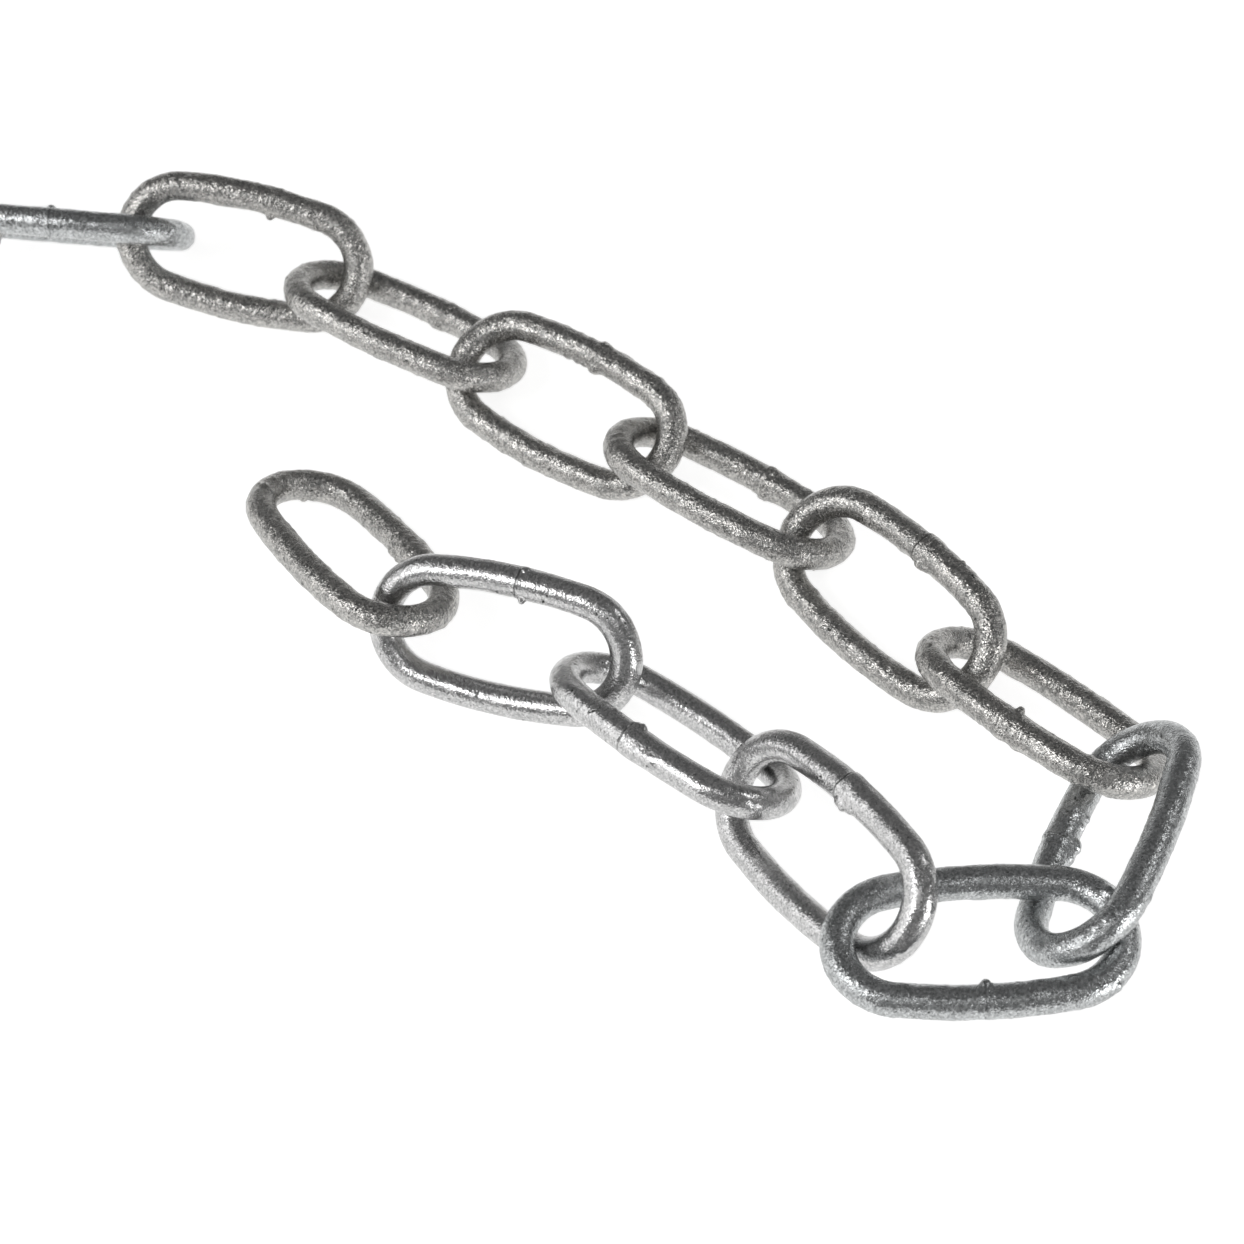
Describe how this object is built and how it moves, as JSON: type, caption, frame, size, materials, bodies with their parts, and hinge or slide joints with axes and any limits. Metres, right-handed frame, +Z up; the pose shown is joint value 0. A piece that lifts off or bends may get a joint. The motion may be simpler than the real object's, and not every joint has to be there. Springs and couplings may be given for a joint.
{
  "type": "length of galvanised steel chain",
  "caption": "Length of welded, hot-dip galvanised long-link chain of round wire, laid on the floor in an open U, with a free link at each end for a hook or shackle.",
  "frame": {"origin": "centre of the chain's bounding box, on the floor that the links lie on", "axes": "+Z up; +X along the longest extent of the lay, towards the bend of the U; +Y away from the camera of the picture"},
  "size_m": [0.5114, 0.3174, 0.0294],
  "materials": {
    "galvanised_steel": "hot-dip galvanised: dull grey, finely grained zinc with small lumps and drips"
  },
  "bodies": {
    "link_01": {"link_01": "galvanised_steel"},
    "link_02": {"link_02": "galvanised_steel"},
    "link_03": {"link_03": "galvanised_steel"},
    "link_04": {"link_04": "galvanised_steel"},
    "link_05": {"link_05": "galvanised_steel"},
    "link_06": {"link_06": "galvanised_steel"},
    "link_07": {"link_07": "galvanised_steel"},
    "link_08": {"link_08": "galvanised_steel"},
    "link_09": {"link_09": "galvanised_steel"},
    "link_10": {"link_10": "galvanised_steel"},
    "link_11": {"link_11": "galvanised_steel"},
    "link_12": {"link_12": "galvanised_steel"},
    "link_13": {"link_13": "galvanised_steel"},
    "link_14": {"link_14": "galvanised_steel"},
    "link_15": {"link_15": "galvanised_steel"},
    "link_16": {"link_16": "galvanised_steel"},
    "link_17": {"link_17": "galvanised_steel"},
    "link_18": {"link_18": "galvanised_steel"},
    "link_19": {"link_19": "galvanised_steel"},
    "link_20": {"link_20": "galvanised_steel"},
    "link_21": {"link_21": "galvanised_steel"},
    "link_22": {"link_22": "galvanised_steel"},
    "link_23": {"link_23": "galvanised_steel"},
    "link_24": {"link_24": "galvanised_steel"}
  },
  "joints": [
    {"name": "swing_02", "type": "hinge", "parent": "link_01", "child": "link_02", "pos_m": [0.11668, 0.04481, 0.01094], "axis": [0, 0, 1], "range_deg": [-15, 5]},
    {"name": "swing_03", "type": "hinge", "parent": "link_02", "child": "link_03", "pos_m": [0.15173, 0.03208, 0.00845], "axis": [0, 0, 1], "range_deg": [-15, 5]},
    {"name": "swing_04", "type": "hinge", "parent": "link_03", "child": "link_04", "pos_m": [0.18013, 0.00767, 0.01009], "axis": [0, 0, -1], "range_deg": [-10, 5]},
    {"name": "swing_05", "type": "hinge", "parent": "link_04", "child": "link_05", "pos_m": [0.19816, -0.02718, 0.01589], "axis": [0, 0, -1], "range_deg": [-10, 15]},
    {"name": "swing_06", "type": "hinge", "parent": "link_05", "child": "link_06", "pos_m": [0.23194, -0.02376, 0.01871], "axis": [0, 0, 1], "range_deg": [-15, 5]},
    {"name": "swing_07", "type": "hinge", "parent": "link_06", "child": "link_07", "pos_m": [0.24356, 0.01261, 0.01289], "axis": [0, 0, 1], "range_deg": [-15, 5]},
    {"name": "swing_08", "type": "hinge", "parent": "link_07", "child": "link_08", "pos_m": [0.21632, 0.03789, 0.01109], "axis": [0, 0, -1], "range_deg": [-10, 5]},
    {"name": "swing_09", "type": "hinge", "parent": "link_08", "child": "link_09", "pos_m": [0.19026, 0.06858, 0.00767], "axis": [0, 0, -1], "range_deg": [-15, 5]},
    {"name": "swing_10", "type": "hinge", "parent": "link_09", "child": "link_10", "pos_m": [0.158, 0.09071, 0.00856], "axis": [0, 0, 1], "range_deg": [-15, 10]},
    {"name": "swing_11", "type": "hinge", "parent": "link_10", "child": "link_11", "pos_m": [0.12589, 0.11332, 0.0075], "axis": [0, 0, 1], "range_deg": [-5, 15]},
    {"name": "swing_12", "type": "hinge", "parent": "link_11", "child": "link_12", "pos_m": [0.0941, 0.13479, 0.01051], "axis": [0, 0, -1], "range_deg": [-5, 15]},
    {"name": "swing_13", "type": "hinge", "parent": "link_12", "child": "link_13", "pos_m": [0.05649, 0.14482, 0.01133], "axis": [0, 0, -1], "range_deg": [-15, 10]},
    {"name": "swing_14", "type": "hinge", "parent": "link_13", "child": "link_14", "pos_m": [0.01605, 0.14795, 0.01057], "axis": [0, 0, 1], "range_deg": [-15, 15]},
    {"name": "swing_15", "type": "hinge", "parent": "link_14", "child": "link_15", "pos_m": [-0.02486, 0.14464, 0.01057], "axis": [0, 0, 1], "range_deg": [-15, 15]},
    {"name": "swing_16", "type": "hinge", "parent": "link_15", "child": "link_16", "pos_m": [-0.06475, 0.13498, 0.01057], "axis": [0, 0, -1], "range_deg": [-15, 15]},
    {"name": "swing_17", "type": "hinge", "parent": "link_16", "child": "link_17", "pos_m": [-0.10264, 0.11919, 0.01057], "axis": [0, 0, -1], "range_deg": [-15, 15]},
    {"name": "swing_18", "type": "hinge", "parent": "link_17", "child": "link_18", "pos_m": [-0.1376, 0.09767, 0.01057], "axis": [0, 0, 1], "range_deg": [-15, 15]},
    {"name": "swing_19", "type": "hinge", "parent": "link_18", "child": "link_19", "pos_m": [-0.16876, 0.07095, 0.01057], "axis": [0, 0, 1], "range_deg": [-15, 15]},
    {"name": "swing_20", "type": "hinge", "parent": "link_19", "child": "link_20", "pos_m": [-0.19535, 0.03968, 0.01057], "axis": [0, 0, -1], "range_deg": [-15, 15]},
    {"name": "swing_21", "type": "hinge", "parent": "link_20", "child": "link_21", "pos_m": [-0.21672, 0.00463, 0.01057], "axis": [0, 0, -1], "range_deg": [-15, 15]},
    {"name": "swing_22", "type": "hinge", "parent": "link_21", "child": "link_22", "pos_m": [-0.23235, -0.03332, 0.01057], "axis": [0, 0, 1], "range_deg": [-15, 15]},
    {"name": "swing_23", "type": "hinge", "parent": "link_22", "child": "link_23", "pos_m": [-0.24185, -0.07326, 0.01057], "axis": [0, 0, 1], "range_deg": [-15, 15]},
    {"name": "swing_24", "type": "hinge", "parent": "link_23", "child": "link_24", "pos_m": [-0.24498, -0.11418, 0.01057], "axis": [0, 0, -1], "range_deg": [-15, 15]}
  ]
}
